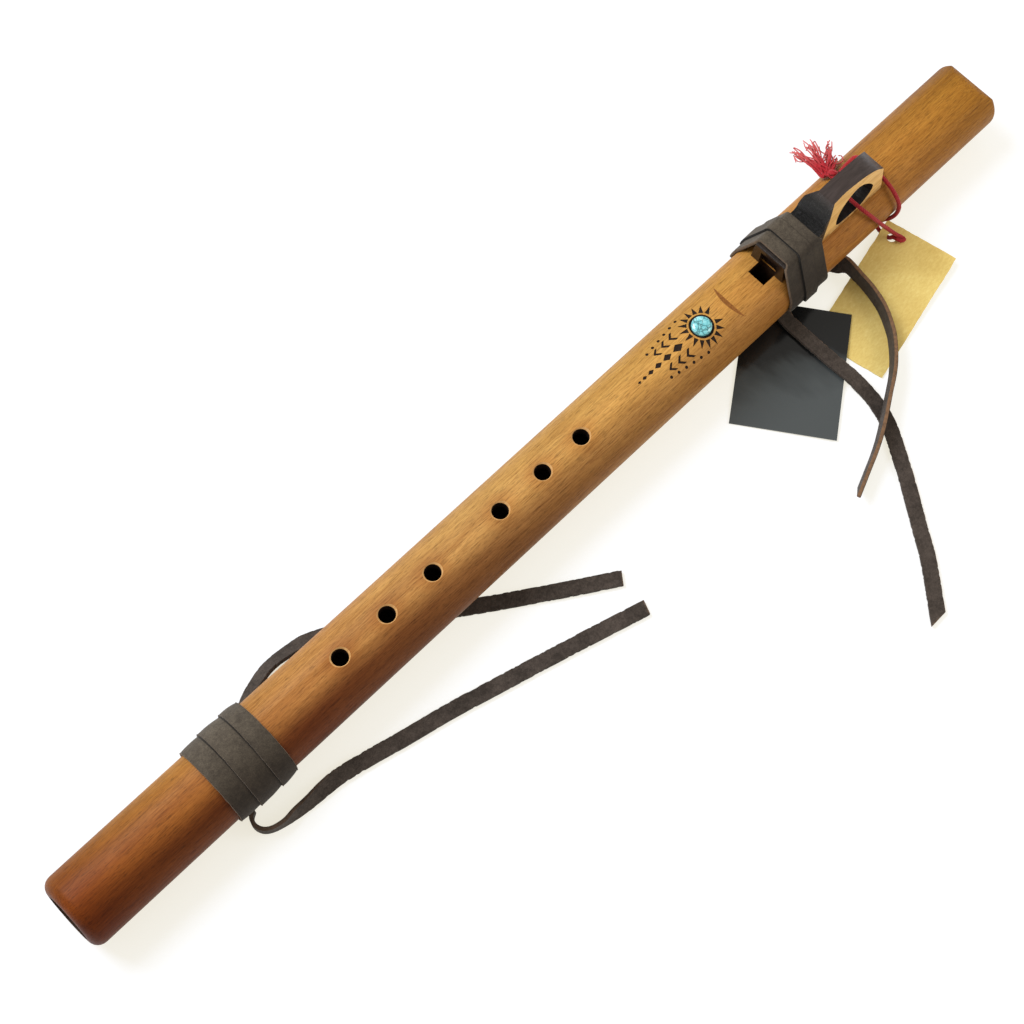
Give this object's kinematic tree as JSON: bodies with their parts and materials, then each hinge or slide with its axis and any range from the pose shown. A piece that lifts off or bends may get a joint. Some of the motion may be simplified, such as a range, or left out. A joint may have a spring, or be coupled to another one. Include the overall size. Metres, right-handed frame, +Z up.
{
  "type": "wooden flute",
  "caption": "Two-chamber wooden flute with finger holes, a carved ring block tied on with a leather lace, a second lace round the foot, an inlaid stone, a red cord and blank hang tags.",
  "frame": {"origin": "Middle of the flute's bounding box in plan, at the height of the surface that it lies on. The box leaves out the free lace ends, the cord and what hangs on it.", "axes": "+X along the bore from the open foot to the mouth end, +Y towards the side that is away from the viewer, +Z up through the finger holes"},
  "size_m": [0.539, 0.1949, 0.0533],
  "materials": {
    "honey_wood": "oiled, satin",
    "charred_wood": "charred and polished on top, planed pale sides on the ring",
    "turquoise": "polished stone with darker veins",
    "dark_leather": "matt nubuck with raw cut edges",
    "red_thread": "twisted cotton",
    "gold_card": "brushed gold card, blank",
    "black_card": "gloss laminated card, blank"
  },
  "bodies": {
    "flute": {"upper_body_half": "honey_wood", "lower_body_half": "honey_wood", "turquoise_stone": "turquoise", "foot_lace_wrap": "dark_leather", "block_lace_wrap": "dark_leather", "block_lace_rear_tail": "dark_leather", "block_lace_front_tail": "dark_leather", "foot_lace_far_tail": "dark_leather", "foot_lace_near_tail": "dark_leather", "red_cord": "red_thread", "cord_tassel": "red_thread", "gold_tag": "gold_card", "black_tag": "black_card"},
    "block": {"block": "charred_wood"}
  },
  "joints": [
    {"name": "block_slide", "type": "slide", "parent": "flute", "child": "block", "axis": [1, 0, 0], "range_m": [-0.0008, 0.0008]}
  ]
}
